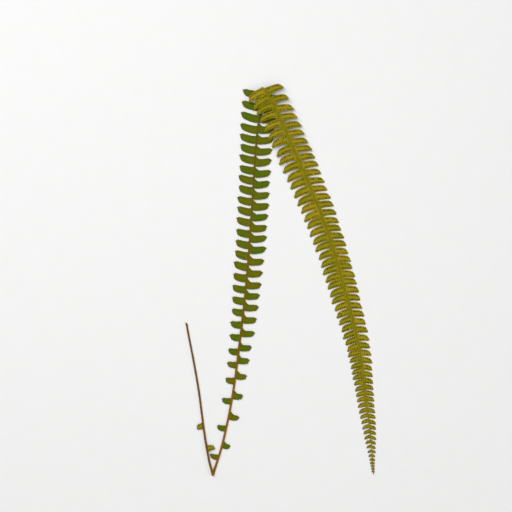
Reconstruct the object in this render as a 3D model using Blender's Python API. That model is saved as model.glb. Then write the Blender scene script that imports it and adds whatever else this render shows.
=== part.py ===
"""Ladder fern frond, pressed and folded in three like the letter N, lying flat.

Metres, +Z up. The stipe runs down from its cut end to a sharp kink, the rachis runs up the left leg with
its upper face showing, folds over at the top and comes down the right leg with its underside showing. The
origin is under the middle of the folded frond, on the surface that it lies on. Distances along the rachis
start at the kink, in millimetres, and those along the stipe are negative. Left and right are as seen from
above.
"""

import math
import random

import bmesh
import bpy
import numpy as np
from mathutils import Vector

MM = 0.001
WELD = 0.000002
FLAT_ANGLE = math.radians(0.02)
LEFT, RIGHT = -1, 1

# Route of the stalk seen from above, in millimetres, and the middle of the folded frond in it
STIPE_ROUTE = ((-94.3, -42.6), (-82.6, -105.6), (-74.0, -166.7), (-71.2, -181.5), (-67.7, -194.1))
LEFT_ROUTE = (
    (-67.7, -194.1),
    (-59.6, -168.8),
    (-50.0, -126.0),
    (-40.9, -61.6),
    (-34.2, -1.6),
    (-28.0, 81.0),
    (-23.2, 147.4),
    (-17.4, 189.0),
)
RIGHT_ROUTE = (
    (-10.5, 182.0),
    (0.0, 159.4),
    (23.6, 107.4),
    (47.6, 46.4),
    (66.8, -19.5),
    (78.6, -66.5),
    (85.2, -118.6),
    (90.0, -156.6),
    (92.8, -194.2),
)
MIDDLE = (0.55, 0.22)

# The fold at the top, the way down from it to the surface, and the kink, in millimetres
FOLD_RADIUS = 2.2
FOLD_LINE_TURN = math.radians(7)
FOLD_STEPS = 8
SETTLE_LENGTH = 120
KINK_LIFT = 1.3
KINK_LENGTH = 60
KNUCKLE_RADIUS = 1.3

# Radius of the stalk by distance, in millimetres
STALK_RADIUS = ((-160, 0.95), (0, 1.05), (120, 1.1), (390, 1.05), (600, 0.85), (740, 0.6), (797, 0.4))
STALK_SIDES = 8
STALK_STEP = 20
FLAT_SIDE = math.cos(math.pi / STALK_SIDES)
PRESSED_FLAT = 0.06

# The pinnae by distance: from one to the next on the same side, length and width, in millimetres
FIRST_PINNA = {LEFT: 17.5, RIGHT: 30.3}
AFTER_FOLD = {LEFT: 0.4, RIGHT: 1.9}
STIPE_PINNAE = ((-49.8, LEFT), (-27, RIGHT))
TIP_MARGIN = 1.5
FOLD_MARGIN = 1.5
PITCH = {
    LEFT: (
        (18, 29.8), (47, 28.1), (75, 20.5), (96, 16), (112, 13.1), (125, 14.2), (139, 12.9), (152, 12.1),
        (164, 11.8), (187, 11.4), (209, 11), (221, 10.9), (232, 11.3), (243, 11.2), (254, 10.6), (275, 10.6),
        (286, 10.2), (337, 10.2), (348, 10.8), (359, 12.2), (385, 12), (395, 7.6), (402, 9.2), (430, 9.2),
        (480, 9.1), (520, 8.4), (560, 8.3), (600, 7.5), (640, 7.4), (660, 6.6), (680, 6.1), (705, 5.6),
        (740, 5.5), (770, 4.7), (785, 3), (797, 2.4),
    ),
    RIGHT: (
        (31, 29.4), (60, 20.8), (81, 20), (101, 16), (117, 12.6), (129, 14.4), (144, 13.4), (157, 12.7),
        (170, 11.5), (182, 10.7), (193, 12), (217, 11.5), (240, 10.7), (293, 11), (327, 11.2), (349, 10.6),
        (395, 10.1), (405, 9.5), (415, 9.7), (425, 9.4), (435, 8.8), (452, 8.3), (461, 8.8), (480, 8.5),
        (505, 8.6), (520, 8.4), (560, 7.9), (584, 7.7), (590, 8.1), (640, 8.4), (655, 7.8), (675, 7.3),
        (695, 6.6), (715, 5.9),
        (740, 5.7), (755, 5), (775, 4.3), (785, 3), (797, 2.4),
    ),
}
LENGTH = {
    LEFT: (
        (-60, 7), (20, 9.3), (100, 10.3), (140, 10.9), (176, 13.2), (200, 14.6), (260, 15.4), (300, 15.9),
        (327, 17), (350, 18.7), (370, 20.2), (385, 20.4), (400, 18.8), (480, 18.9), (560, 17.6), (600, 16.5),
        (650, 14.5), (683, 12.4), (704, 10.7), (722, 9.4), (746, 8), (759, 6.8), (775, 4.4), (785, 2.8),
        (797, 1.6),
    ),
    RIGHT: (
        (-60, 8), (36, 9.2), (60, 10.8), (81, 11.3), (101, 12.3), (133, 13.4), (146, 14.6), (171, 15.5),
        (200, 16), (230, 17.3), (300, 17.5), (385, 18), (405, 17.2), (430, 17.6), (480, 17.1), (520, 15.8),
        (560, 14.8), (610, 14.4), (650, 12.3), (683, 11), (704, 9.9), (722, 8.8), (746, 7.3), (759, 6.2),
        (775, 3.8), (785, 2.5), (797, 1.4),
    ),
}
WIDTH = {
    LEFT: (
        (-60, 6), (26, 5.6), (61, 6.2), (116, 6.8), (200, 8), (350, 8.2), (480, 8.1), (600, 7), (650, 6.3),
        (700, 4.9), (745, 3.5), (774, 2.3), (797, 1.4),
    ),
    RIGHT: (
        (-60, 6), (26, 5.8), (61, 6.2), (116, 6.6), (200, 7.5), (350, 7.8), (430, 7.4), (480, 7), (600, 6.2),
        (650, 5.7), (700, 4.7), (745, 3.6), (774, 2.4), (797, 1.4),
    ),
}

# How the pinnae stand: degrees between pinna and rachis, bend towards the frond's tip, and the ear's reach
LEAN = {
    LEFT: (
        (-60, 78), (20, 92), (100, 92), (200, 84), (360, 82), (385, 92), (400, 102), (480, 100.5), (560, 97),
        (640, 90), (700, 88), (797, 74),
    ),
    RIGHT: (
        (-60, 90), (20, 84), (100, 85), (240, 85), (390, 81), (400, 79), (480, 79), (650, 79), (700, 78),
        (797, 66),
    ),
}
SICKLE = {
    LEFT: ((-60, 0), (60, 0.02), (200, 0.05), (390, 0.05), (400, 0.15), (560, 0.14), (650, 0.1), (797, 0.06)),
    RIGHT: ((-60, 0), (60, -0.03), (160, 0), (220, 0.03), (390, 0.05), (400, 0.09), (650, 0.09), (797, 0.05)),
}
EAR = {
    LEFT: ((-60, 0.55), (797, 0.52)),
    RIGHT: ((-60, 0.6), (60, 0.9), (170, 0.9), (230, 0.86), (390, 0.78), (400, 0.6), (797, 0.52)),
}

# A pinna: how far along, half width towards the frond's base, half width towards its tip. None is the ear
PINNA_ROWS = (
    (0, 0.28, 0.28), (0.055, 0.43, None), (0.3, 0.49, 0.46), (0.62, 0.45, 0.44), (0.86, 0.28, 0.42),
    (1, -0.08, 0.34),
)
SMALL_PINNA = 12.5
SMALL_ROWS = ((0, 0.28, 0.28), (0.1, 0.43, None), (0.45, 0.47, 0.45), (0.85, 0.23, 0.38), (1, -0.05, 0.3))
ROOT_SUNK = 0.35
ROOT_START = 0.5
PINNA_THICKNESS = 0.7
LOWEST = 0.08
ROOT_HEIGHT = 0.05
ARCH = 0.45
TIP_DROOP = 0.5

# What makes no two pinnae alike
TWIST = math.radians(3)
SWING = math.radians(2)
UNEVEN = 0.03
SEED = 11

LEAF_COLOUR = (0.11, 0.16, 0.008, 1)
LEAF_ROUGHNESS = 0.6
STALK_COLOUR = (0.26, 0.11, 0.02, 1)
STALK_ROUGHNESS = 0.5


def remove_everything():
    for old in list(bpy.data.objects):
        bpy.data.objects.remove(old, do_unlink=True)


def make_collection(name):
    collection = bpy.data.collections.new(name)
    bpy.context.scene.collection.children.link(collection)
    return collection


def make_material(name, colour, roughness):
    material = bpy.data.materials.new(name)
    material.use_nodes = True
    shader = material.node_tree.nodes["Principled BSDF"]
    shader.inputs["Base Color"].default_value = colour
    shader.inputs["Roughness"].default_value = roughness
    shader.inputs["Metallic"].default_value = 0
    return material


def by_distance(knots, distance):
    places, values = zip(*knots)
    return float(np.interp(distance, places, values))


def ease(share):
    share = min(max(share, 0), 1)
    return share * share * (3 - 2 * share)


def lengths_along(points):
    return np.concatenate([[0], np.cumsum(np.linalg.norm(np.diff(points, axis=0), axis=1))])


def smooth_route(route, step=1.0):
    """Points about a step apart on a smooth curve through the route's own points, from the frond's middle."""
    points = np.array(route, float) - MIDDLE
    along = lengths_along(points)
    slopes = np.gradient(points, along, axis=0)
    found = []
    for place in range(len(points) - 1):
        gap = along[place + 1] - along[place]
        for t in np.linspace(0, 1, max(2, round(gap / step)), endpoint=False):
            late = t * t * (3 - 2 * t)
            found.append(
                points[place] * (1 - late)
                + points[place + 1] * late
                + slopes[place] * gap * t * (1 - t) ** 2
                - slopes[place + 1] * gap * t * t * (1 - t)
            )
    found.append(points[-1])
    return np.array(found)


class Stalk:
    """A stretch of the stalk: its middle line and, at each point, the way the leaf's upper face looks."""

    def __init__(self, points, upper, start=0):
        self.points = np.array(points, float)
        self.upper = np.array(upper, float)
        self.along = lengths_along(self.points) + start
        self.ways = np.gradient(self.points, self.along, axis=0)

    def at(self, distance):
        """The place, the way to the tip, the way to the right and the way that the upper face looks."""
        place, way, upper = (
            Vector([float(np.interp(distance, self.along, column)) for column in table.T])
            for table in (self.points, self.ways, self.upper)
        )
        way.normalize()
        right = way.cross(upper).normalized()
        return place, way, right, right.cross(way)


def lay_stipe():
    """The stipe lies on the surface and rises a little where it is folded back over the rachis."""
    plan = smooth_route(STIPE_ROUTE)
    distances = lengths_along(plan) - lengths_along(plan)[-1]
    points = []
    for (x, y), distance in zip(plan, distances):
        rest = FLAT_SIDE * by_distance(STALK_RADIUS, distance)
        points.append((x, y, rest + KINK_LIFT * ease(1 + distance / KINK_LENGTH)))
    return Stalk(points, np.tile((0, 0, -1), (len(points), 1)), distances[0])


def lay_rachis():
    """Up the left leg, round the fold and down the right leg. Gives where the fold starts and ends too."""
    left = smooth_route(LEFT_ROUTE)
    points = [
        (x, y, FLAT_SIDE * by_distance(STALK_RADIUS, distance))
        for (x, y), distance in zip(left, lengths_along(left))
    ]
    upper = [(0, 0, 1)] * len(points)
    fold_start = lengths_along(np.array(points))[-1]

    fold_line = Vector((math.cos(FOLD_LINE_TURN), math.sin(FOLD_LINE_TURN), 0))
    outward = Vector((-fold_line.y, fold_line.x, 0))
    heading = Vector((*(left[-1] - left[-2]), 0))
    slip = heading.dot(fold_line) / heading.dot(outward)
    corner = Vector(points[-1])
    for turn in np.linspace(0, math.pi, FOLD_STEPS + 1)[1:]:
        place = corner + fold_line * (slip * FOLD_RADIUS * turn) + outward * (FOLD_RADIUS * math.sin(turn))
        place.z += FOLD_RADIUS * (1 - math.cos(turn))
        points.append(tuple(place))
        upper.append((*(-math.sin(turn) * outward).xy, math.cos(turn)))
    fold_end = lengths_along(np.array(points))[-1]

    fold_foot = (points[-1][0] + MIDDLE[0], points[-1][1] + MIDDLE[1])
    right = smooth_route((fold_foot, *RIGHT_ROUTE))
    for (x, y), distance in list(zip(right, lengths_along(right)))[1:]:
        rest = by_distance(STALK_RADIUS, fold_end + distance)
        drop = corner.z + 2 * FOLD_RADIUS - rest
        points.append((x, y, rest + drop * ease(1 - distance / SETTLE_LENGTH)))
        upper.append((0, 0, -1))
    return Stalk(points, upper), fold_start, fold_end


def mesh_from(thing, collection, material):
    """Puts a closed mesh of triangles in the place of an object with modifiers or of a curve."""
    evaluated = thing.evaluated_get(bpy.context.evaluated_depsgraph_get())
    mesh = bpy.data.meshes.new_from_object(evaluated)
    form = bmesh.new()
    form.from_mesh(mesh)
    bmesh.ops.remove_doubles(form, verts=form.verts, dist=WELD)
    bmesh.ops.triangulate(form, faces=form.faces)
    bmesh.ops.recalc_face_normals(form, faces=form.faces)
    form.to_mesh(mesh)
    form.free()
    mesh.materials.clear()
    mesh.materials.append(material)
    name = thing.name
    place = thing.matrix_world.copy()
    bpy.data.objects.remove(thing, do_unlink=True)
    made = bpy.data.objects.new(name, mesh)
    made.matrix_world = place
    collection.objects.link(made)
    return made


def make_tube(name, stalk, distances, collection, material):
    curve = bpy.data.curves.new(name, "CURVE")
    curve.dimensions = "3D"
    curve.bevel_depth = MM
    curve.bevel_resolution = (STALK_SIDES - 4) // 2
    curve.use_fill_caps = True
    curve.twist_mode = "MINIMUM"
    spline = curve.splines.new("POLY")
    spline.points.add(len(distances) - 1)
    for point, distance in zip(spline.points, distances):
        place = stalk.at(distance)[0]
        point.co = (*(place * MM), 1)
        point.radius = by_distance(STALK_RADIUS, distance)
        point.tilt = math.pi / STALK_SIDES
    tube = bpy.data.objects.new(name, curve)
    collection.objects.link(tube)
    solid = mesh_from(tube, collection, material)
    for vertex in solid.data.vertices:
        if vertex.co.z < PRESSED_FLAT * MM:
            vertex.co.z = 0
    return solid


def make_knuckle(place, collection, material):
    """The crushed stalk at the kink."""
    form = bmesh.new()
    bmesh.ops.create_uvsphere(form, u_segments=8, v_segments=5, radius=KNUCKLE_RADIUS * MM)
    mesh = bpy.data.meshes.new("knuckle")
    form.to_mesh(mesh)
    form.free()
    knuckle = bpy.data.objects.new("knuckle", mesh)
    knuckle.location = Vector((place.x, place.y, KNUCKLE_RADIUS + LOWEST)) * MM
    collection.objects.link(knuckle)
    bpy.context.view_layer.update()
    return mesh_from(knuckle, collection, material)


def make_pinna(name, stalk, distance, side, draw, collection, material):
    """One leaflet: a grid drawn into its outline, arched along its length and extruded to its thickness."""
    place, way, right, upper = stalk.at(distance)
    lean = math.radians(by_distance(LEAN[side], distance)) + SWING * draw.uniform(-1, 1)
    axis = way * math.cos(lean) + right * (side * math.sin(lean))
    across = way * math.sin(lean) - right * (side * math.cos(lean))
    length = by_distance(LENGTH[side], distance) * (1 + UNEVEN * draw.uniform(-1, 1))
    width = by_distance(WIDTH[side], distance) * (1 + UNEVEN * draw.uniform(-1, 1))
    twist = math.sin(TWIST * draw.uniform(-1, 1))
    bend = by_distance(SICKLE[side], distance) * length
    ear = by_distance(EAR[side], distance)
    radius = by_distance(STALK_RADIUS, distance)
    skyward = 1 if upper.z > 0 else -1

    rows = SMALL_ROWS if length < SMALL_PINNA else PINNA_ROWS
    start = ROOT_START * radius
    form = bmesh.new()
    bmesh.ops.create_grid(form, x_segments=1, y_segments=len(rows) - 1, size=1)
    for vertex in form.verts:
        share, below, above = rows[round((vertex.co.y + 1) / 2 * (len(rows) - 1))]
        aside = (above or ear) * width if vertex.co.x > 0 else -below * width
        along = start + share * (length - start) if share else ROOT_SUNK * radius
        free = max(0, share - rows[1][0]) / (1 - rows[1][0])
        arched = skyward * (ARCH * 4 * free * (1 - free) - TIP_DROOP * free)
        height = ROOT_HEIGHT + arched + aside * twist * free
        spot = place + axis * along + across * (aside + bend * free * free) + upper * height
        spot.z = max(spot.z - PINNA_THICKNESS / 2, LOWEST)
        vertex.co = spot * MM
    bmesh.ops.triangulate(form, faces=form.faces)
    walls = bmesh.ops.extrude_face_region(form, geom=list(form.faces))
    risen = [piece for piece in walls["geom"] if isinstance(piece, bmesh.types.BMVert)]
    bmesh.ops.translate(form, verts=risen, vec=(0, 0, PINNA_THICKNESS * MM))
    bmesh.ops.triangulate(form, faces=form.faces)
    bmesh.ops.recalc_face_normals(form, faces=form.faces)
    mesh = bpy.data.meshes.new(name)
    form.to_mesh(mesh)
    form.free()
    mesh.materials.append(material)
    blade = bpy.data.objects.new(name, mesh)
    collection.objects.link(blade)


def pinna_places(side, end, fold_start, fold_end):
    """Distances of the pinnae on one side, closer and closer to each other towards the tip."""
    distance = FIRST_PINNA[side]
    places = []
    while distance < end:
        if fold_start - FOLD_MARGIN < distance < fold_end + AFTER_FOLD[side]:
            distance = fold_end + AFTER_FOLD[side]
        places.append(distance)
        distance += by_distance(PITCH[side], distance)
    return places


def tube_places(start, end, fold=None):
    """Distances of the stalk's rings, which are closer to each other round the fold."""
    places = np.linspace(start, end, round((end - start) / STALK_STEP) + 1)
    if not fold:
        return places
    fold_start, fold_end = fold
    away = [place for place in places if not fold_start - 3 < place < fold_end + 3]
    return sorted(away + list(np.linspace(fold_start, fold_end, FOLD_STEPS)))


def drop_scraps(form):
    """Deletes every loose crumb that the union leaves, so that the largest body stays alone."""
    bodies = []
    waiting = set(form.faces)
    while waiting:
        grown = [waiting.pop()]
        for face in grown:
            near = {other for edge in face.edges for other in edge.link_faces} & waiting
            waiting -= near
            grown.extend(near)
        bodies.append(grown)
    bodies.sort(key=len)
    crumbs = [face for body in bodies[:-1] for face in body]
    bmesh.ops.delete(form, geom=crumbs, context="FACES")


def fuse(body, joined):
    """One Boolean union of the rachis with all that is in the collection, which then goes."""
    union = body.modifiers.new("grown together", "BOOLEAN")
    union.operation = "UNION"
    union.operand_type = "COLLECTION"
    union.collection = joined
    union.solver = "EXACT"
    evaluated = body.evaluated_get(bpy.context.evaluated_depsgraph_get())
    mesh = bpy.data.meshes.new_from_object(evaluated)
    body.modifiers.clear()
    form = bmesh.new()
    form.from_mesh(mesh)
    bmesh.ops.remove_doubles(form, verts=form.verts, dist=WELD)
    bmesh.ops.dissolve_limit(form, angle_limit=FLAT_ANGLE, verts=form.verts, edges=form.edges)
    drop_scraps(form)
    bmesh.ops.triangulate(form, faces=form.faces)
    form.to_mesh(mesh)
    form.free()
    body.data = mesh
    for piece in list(joined.objects):
        bpy.data.objects.remove(piece, do_unlink=True)
    bpy.data.collections.remove(joined)


def main():
    remove_everything()
    parts = make_collection("ladder fern frond")
    joined = make_collection("pieces that grow together")
    leaf = make_material("leaf", LEAF_COLOUR, LEAF_ROUGHNESS)
    wood = make_material("stalk", STALK_COLOUR, STALK_ROUGHNESS)

    stipe = lay_stipe()
    rachis, fold_start, fold_end = lay_rachis()
    tip = rachis.along[-1]
    frond = make_tube("frond", rachis, tube_places(0, tip, (fold_start, fold_end)), parts, wood)
    make_tube("stipe", stipe, tube_places(stipe.along[0], 0), joined, wood)
    make_knuckle(rachis.at(0)[0], joined, wood)

    draw = random.Random(SEED)
    for distance, side in STIPE_PINNAE:
        make_pinna("stipe pinna", stipe, distance, side, draw, joined, leaf)
    for side in (LEFT, RIGHT):
        for distance in pinna_places(side, tip - TIP_MARGIN, fold_start, fold_end):
            make_pinna("pinna", rachis, distance, side, draw, joined, leaf)
    bpy.context.view_layer.update()
    fuse(frond, joined)


main()
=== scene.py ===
"""Looks of the pressed ladder fern frond: leaflets, veins, spore heaps, stalk, scales, paper and light.

Lengths in the tables are millimetres, as on the frond itself, and MM turns them into Blender's metres.
Distances along the rachis start at the kink at the bottom, and those along the stipe are negative. The left
leg shows the leaflets' upper faces. The right leg is folded over, and shows their undersides with the spore
heaps.
"""

import math
import random

import bmesh
import bpy
import numpy as np
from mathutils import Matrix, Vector


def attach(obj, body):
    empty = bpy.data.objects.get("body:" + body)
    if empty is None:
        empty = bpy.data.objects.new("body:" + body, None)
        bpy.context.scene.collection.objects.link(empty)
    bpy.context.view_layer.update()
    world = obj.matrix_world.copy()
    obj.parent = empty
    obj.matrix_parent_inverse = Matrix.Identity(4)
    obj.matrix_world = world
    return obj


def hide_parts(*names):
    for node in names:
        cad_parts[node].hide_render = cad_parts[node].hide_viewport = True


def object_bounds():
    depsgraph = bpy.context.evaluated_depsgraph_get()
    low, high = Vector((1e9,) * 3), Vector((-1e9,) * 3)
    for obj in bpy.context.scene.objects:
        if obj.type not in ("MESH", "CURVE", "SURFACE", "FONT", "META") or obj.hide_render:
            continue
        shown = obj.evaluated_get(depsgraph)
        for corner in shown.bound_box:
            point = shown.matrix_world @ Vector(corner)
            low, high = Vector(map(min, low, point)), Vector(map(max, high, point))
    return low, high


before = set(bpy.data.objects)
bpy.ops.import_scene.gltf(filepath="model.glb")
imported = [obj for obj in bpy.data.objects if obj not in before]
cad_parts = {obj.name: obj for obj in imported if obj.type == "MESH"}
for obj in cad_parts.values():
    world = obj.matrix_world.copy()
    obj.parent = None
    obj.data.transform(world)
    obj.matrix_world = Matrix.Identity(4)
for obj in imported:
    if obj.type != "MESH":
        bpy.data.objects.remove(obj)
cad_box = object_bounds()

MM = 0.001
LEFT, RIGHT = -1, 1
BODY = "root"
NODE = "frond"

# Route of the stalk seen from above, and the middle of the folded frond in it
STIPE_ROUTE = ((-94.3, -42.6), (-82.6, -105.6), (-74.0, -166.7), (-71.2, -181.5), (-67.7, -194.1))
LEFT_ROUTE = (
    (-67.7, -194.1), (-59.6, -168.8), (-50.0, -126.0), (-40.9, -61.6), (-34.2, -1.6), (-28.0, 81.0),
    (-23.2, 147.4), (-17.4, 189.0),
)
RIGHT_ROUTE = (
    (-10.5, 182.0), (0.0, 159.4), (23.6, 107.4), (47.6, 46.4), (66.8, -19.5), (78.6, -66.5),
    (85.2, -118.6), (90.0, -156.6), (92.8, -194.2),
)
MIDDLE = (0.55, 0.22)

# The fold at the top, the way down from it to the surface, and the kink at the bottom
FOLD_RADIUS = 2.2
FOLD_LINE_TURN = math.radians(7)
FOLD_STEPS = 16
SETTLE_LENGTH = 120
KINK_LIFT = 1.3
KINK_LENGTH = 60
KINK_STEPS = 8

# Radius of the stalk by distance. It rests on its flattened underside
STALK_RADIUS = ((-160, 0.95), (0, 1.05), (120, 1.1), (390, 1.05), (600, 0.85), (740, 0.6), (797, 0.4))
STALK_FLATNESS = 0.92

# The pinnae by distance: from one to the next on the same side, length and width
FIRST_PINNA = {LEFT: 17.5, RIGHT: 30.3}
AFTER_FOLD = {LEFT: 0.4, RIGHT: 1.9}
STIPE_PINNAE = ((-49.8, LEFT), (-27, RIGHT))
TIP_MARGIN = 1.5
FOLD_MARGIN = 1.5
PITCH = {
    LEFT: (
        (18, 29.8), (47, 28.1), (75, 20.5), (96, 16), (112, 13.1), (125, 14.2), (139, 12.9), (152, 12.1),
        (164, 11.8), (187, 11.4), (209, 11), (221, 10.9), (232, 11.3), (243, 11.2), (254, 10.6), (275, 10.6),
        (286, 10.2), (337, 10.2), (348, 10.8), (359, 12.2), (385, 12), (395, 7.6), (402, 9.2), (430, 9.2),
        (480, 9.1), (520, 8.4), (560, 8.3), (600, 7.5), (640, 7.4), (660, 6.6), (680, 6.1), (705, 5.6),
        (740, 5.5), (770, 4.7), (785, 3), (797, 2.4),
    ),
    RIGHT: (
        (31, 29.4), (60, 20.8), (81, 20), (101, 16), (117, 12.6), (129, 14.4), (144, 13.4), (157, 12.7),
        (170, 11.5), (182, 10.7), (193, 12), (217, 11.5), (240, 10.7), (293, 11), (327, 11.2), (349, 10.6),
        (395, 10.1), (405, 9.5), (415, 9.7), (425, 9.4), (435, 8.8), (452, 8.3), (461, 8.8), (480, 8.5),
        (505, 8.6), (520, 8.4), (560, 7.9), (584, 7.7), (590, 8.1), (640, 8.4), (655, 7.8), (675, 7.3),
        (695, 6.6), (715, 5.9),
        (740, 5.7), (755, 5), (775, 4.3), (785, 3), (797, 2.4),
    ),
}
LENGTH = {
    LEFT: (
        (-60, 7), (20, 9.3), (100, 10.3), (140, 10.9), (176, 13.2), (200, 14.6), (260, 15.4), (300, 15.9),
        (327, 17), (350, 18.7), (370, 20.2), (385, 20.4), (400, 18.8), (480, 18.9), (560, 17.6), (600, 16.5),
        (650, 14.5), (683, 12.4), (704, 10.7), (722, 9.4), (746, 8), (759, 6.8), (775, 4.4), (785, 2.8),
        (797, 1.6),
    ),
    RIGHT: (
        (-60, 8), (36, 9.2), (60, 10.8), (81, 11.3), (101, 12.3), (133, 13.4), (146, 14.6), (171, 15.5),
        (200, 16), (230, 17.3), (300, 17.5), (385, 18), (405, 17.2), (430, 17.6), (480, 17.1), (520, 15.8),
        (560, 14.8), (610, 14.4), (650, 12.3), (683, 11), (704, 9.9), (722, 8.8), (746, 7.3), (759, 6.2),
        (775, 3.8), (785, 2.5), (797, 1.4),
    ),
}
WIDTH = {
    LEFT: (
        (-60, 6), (26, 5.6), (61, 6.2), (116, 6.8), (200, 8), (350, 8.2), (480, 8.1), (600, 7), (650, 6.3),
        (700, 4.9), (745, 3.5), (774, 2.3), (797, 1.4),
    ),
    RIGHT: (
        (-60, 6), (26, 5.8), (61, 6.2), (116, 6.6), (200, 7.5), (350, 7.8), (430, 7.4), (480, 7), (600, 6.2),
        (650, 5.7), (700, 4.7), (745, 3.6), (774, 2.4), (797, 1.4),
    ),
}

# Width of the right leg's thin blades against the width table, as wide as the silhouette shows them
FULLNESS = {
    LEFT: ((480, 1), (534, 1.05), (620, 1.06), (700, 1.1), (760, 1.2)),
    RIGHT: (
        (395, 1), (400, 0.94), (450, 0.96), (480, 1.02), (534, 1.08), (570, 1.13), (600, 1.2), (797, 1.2),
    ),
}

# How the pinnae stand: degrees between pinna and rachis, bend towards the frond's tip, and the ear's reach
LEAN = {
    LEFT: (
        (-60, 78), (20, 92), (100, 92), (200, 84), (360, 82), (385, 92), (400, 102), (480, 100.5), (560, 97),
        (640, 90), (700, 88), (797, 74),
    ),
    RIGHT: (
        (-60, 90), (20, 84), (100, 85), (240, 85), (390, 81), (400, 79), (480, 79), (650, 79), (700, 78),
        (797, 66),
    ),
}
SICKLE = {
    LEFT: ((-60, 0), (60, 0.02), (200, 0.05), (390, 0.05), (400, 0.15), (560, 0.14), (650, 0.1), (797, 0.06)),
    RIGHT: ((-60, 0), (60, -0.03), (160, 0), (220, 0.03), (390, 0.05), (400, 0.09), (650, 0.09), (797, 0.05)),
}
EAR = {
    LEFT: ((-60, 0.55), (797, 0.52)),
    RIGHT: ((-60, 0.6), (60, 0.9), (170, 0.9), (230, 0.86), (390, 0.78), (400, 0.6), (797, 0.52)),
}

# A pinna: how far along, half width towards the frond's base, half width towards its tip. None is the ear
PINNA_ROWS = (
    (0, 0.31, 0.31), (0.05, 0.45, None), (0.3, 0.49, 0.46), (0.62, 0.45, 0.44), (0.82, 0.34, 0.43),
    (0.94, 0.1, 0.41), (1, -0.16, 0.36),
)
SMALL_PINNA = 12.5
SMALL_ROWS = (
    (0, 0.31, 0.31), (0.09, 0.45, None), (0.45, 0.48, 0.45), (0.8, 0.31, 0.41), (0.93, 0.1, 0.38),
    (1, -0.12, 0.33),
)
ROOT_SUNK = 0.35
ROOT_HEIGHT = 0.05
ARCH = 0.45
TIP_DROOP = 0.5
TWIST = math.radians(3)
SWING = math.radians(2)
UNEVEN = 0.03
SEED = 11

# The thin blade: its grid, thickness, midrib, teeth and waves
ROW_GAP = 0.36
COLUMNS = np.array((-1, -0.88, -0.6, -0.3, -0.06, 0, 0.06, 0.3, 0.6, 0.88, 1))
BLADE_THICKNESS = 0.26
MARGIN_THINNING = 0.45
MIDRIB_HEIGHT = 0.17
MIDRIB_CHANNEL = 0.07
MIDRIB_SHIFT = 0.16
LOWEST_MIDDLE = 0.36
ROOT_RISE = 0.5
TOOTH_GAP = 2.1
TOOTH_DEPTH = 0.72
SHINGLE = math.tan(math.radians(2.5))
WAVE_HEIGHT = 0.16
WAVE_LENGTH = 5.5
BASE_SPREAD = 0.13
BASE_LOBE = 0.14
TIP_NOTCH = 2.1
TIP_ROUNDING = 0.14
CORNER_ROUNDING = {False: {LEFT: 1.3, RIGHT: 1.7}, True: {LEFT: 1.1, RIGHT: 1.2}}
CORNER_SLOPE = 0.1
TIP_CURL = 0.35
MARGIN_WIDTH = 1.2
WHIM_SEED = 29

# Where a blade's details start and end, as shares of its length, their ranges, and widths in millimetres
FEWEST_ROWS = 9
END_CROWDING = 0.3
TEETH_START, TEETH_RISE = 0.08, 0.15
TEETH_AT_BASE, TEETH_TIPWARD = 0.75, 0.45
TOOTH_GAP_RANGE = (0.7, 1.35)
TOOTH_SHARPNESS, TOOTH_MIDDLE = 0.6, 0.7
FULL_TEETH_WIDTH = 6
SPREAD_BELOW, SPREAD_ABOVE, LOBE_REACH = 0.28, 0.2, 0.07
CORNER_START = 0.8
BLUNT_POWER = 3
END_START, END_POWER = 0.78, 1.5
NOTCH_RANGE, NOTCH_PLACES, NOTCH_HALF_WIDTH = (-0.15, 1), (-0.5, 0.3), 0.4
TURNED_OVER_NOTCH = 0.4
FULL_END_WIDTH = 7
WAVE_OFFSET, WAVE_START = 0.25, 3
CURL_RANGE = (-0.6, 1)
ROOT_REACH = 0.25
RIDGE_WIDTH, RIDGE_FADING = 0.05, 0.75

# The spore heaps: two rows on each underside
SORUS_GAP = 1.85
SORUS_WIDTH = 1.4
SORUS_HEIGHT = 0.27
SORUS_ROW = 0.56
SORUS_ROW_WANDER = 0.04
SORUS_PLACE_WANDER = 0.2
SORUS_FIRST, SORUS_SPAN, SORUS_COVERED = 0.12, 0.8, 0.82
SORUS_SIZES = (0.84, 1.1)
SORUS_SHRINK_START, SORUS_SHRINK = 0.7, 0.35
SORUS_FULL_LENGTH, SORUS_LEAST_GAP, SORUS_LEAST_SIZE = 14, 0.55, 0.5
SORUS_MISSING = 0.05
SIDES_SEEN, SIDES_HIDDEN, SORUS_RINGS, SPIN_SEED = 8, 7, 4, 5

UV_SPAN = 25


def by_distance(knots, distance):
    places, values = zip(*knots)
    return float(np.interp(distance, places, values))


def ease(share):
    share = np.clip(share, 0, 1)
    return share * share * (3 - 2 * share)


def rounded(knots, wanted):
    """A smooth curve through a few knots that never swings past them."""
    places, values = np.array(knots, float).T
    gaps = np.diff(places)
    rises = np.diff(values) / gaps
    slopes = np.concatenate([rises[:1], np.zeros(len(rises) - 1), rises[-1:]])
    steady = np.flatnonzero(rises[:-1] * rises[1:] > 0)
    slopes[steady + 1] = 2 * rises[steady] * rises[steady + 1] / (rises[steady] + rises[steady + 1])
    cell = np.clip(np.searchsorted(places, wanted, side="right") - 1, 0, len(gaps) - 1)
    t = (wanted - places[cell]) / gaps[cell]
    late = t * t * (3 - 2 * t)
    lean_in = gaps[cell] * (slopes[cell] * t * (1 - t) ** 2 - slopes[cell + 1] * t * t * (1 - t))
    return values[cell] * (1 - late) + values[cell + 1] * late + lean_in


def lengths_along(points):
    return np.concatenate([[0], np.cumsum(np.linalg.norm(np.diff(points, axis=0), axis=1))])


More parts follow.
